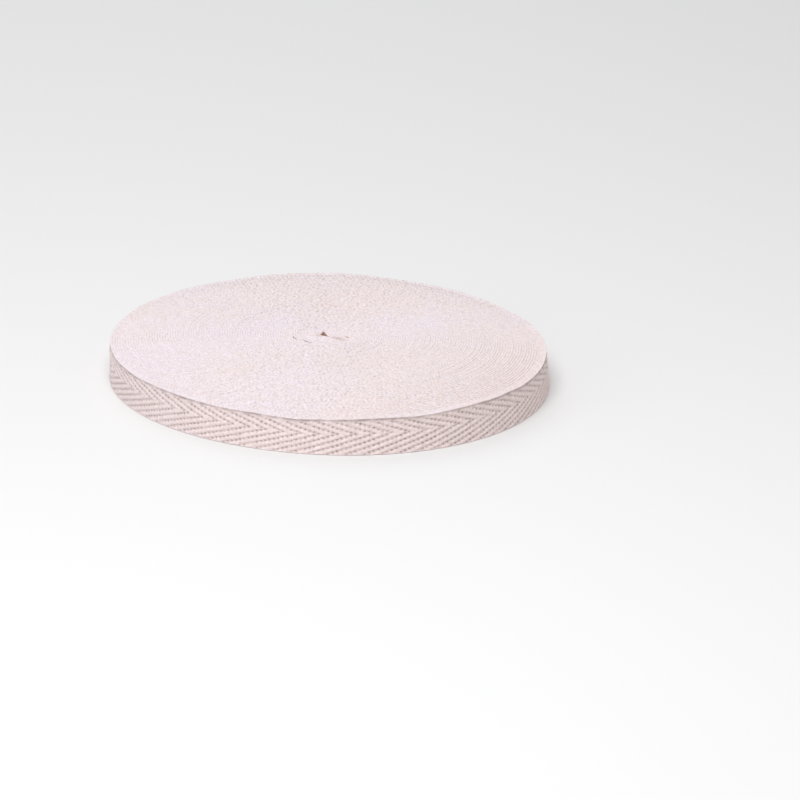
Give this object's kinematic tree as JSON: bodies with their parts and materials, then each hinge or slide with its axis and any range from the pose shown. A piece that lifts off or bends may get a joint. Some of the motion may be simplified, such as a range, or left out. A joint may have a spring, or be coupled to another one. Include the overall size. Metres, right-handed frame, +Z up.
{
  "type": "roll of cotton webbing",
  "caption": "Flat-wound roll of narrow cotton herringbone webbing with a gently domed face, a folded start with a small eye at its middle and a plain cut outer end.",
  "frame": {"origin": "middle of the roll's box at the level of the surface that it lies on", "axes": "+Z up through the wound face, across the width of the webbing; -Y towards the viewer of the picture"},
  "size_m": [0.1784, 0.181, 0.0195],
  "materials": {
    "cotton_webbing": "matt unbleached cotton twill, pale pinkish ivory"
  },
  "bodies": {
    "root": {"wound_webbing": "cotton_webbing"}
  },
  "joints": []
}
